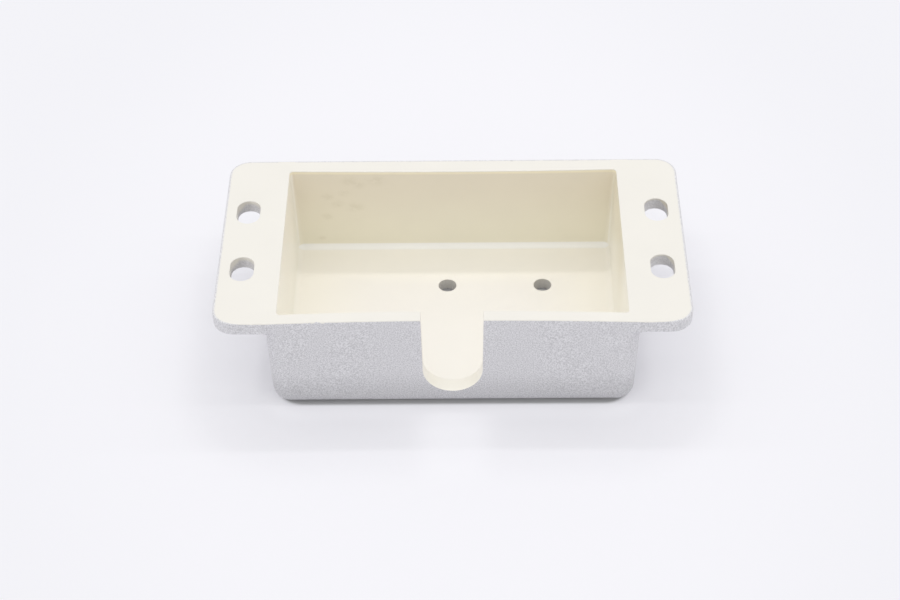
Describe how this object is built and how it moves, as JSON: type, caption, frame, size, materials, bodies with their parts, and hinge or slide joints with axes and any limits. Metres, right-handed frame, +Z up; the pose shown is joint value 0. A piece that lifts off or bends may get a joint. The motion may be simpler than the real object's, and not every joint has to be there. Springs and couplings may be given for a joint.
{
  "type": "injection moulded plastic housing",
  "caption": "Open rectangular moulded tray with slotted mounting ears, a U-shaped cable notch in the front wall and screw holes in the floor.",
  "frame": {"origin": "on the underside of the tray, below the middle of the flange outline", "axes": "+X from ear to ear, to the right when the cable notch faces the viewer; +Y from the notched front wall to the back wall; +Z up, out of the open mouth"},
  "size_m": [0.1, 0.0536, 0.025],
  "materials": {
    "cream_plastic": "smooth cream moulding; the outside walls, ear sides and hole walls carry a sprayed silver-grey paint"
  },
  "bodies": {
    "root": {"housing": "cream_plastic"}
  },
  "joints": []
}
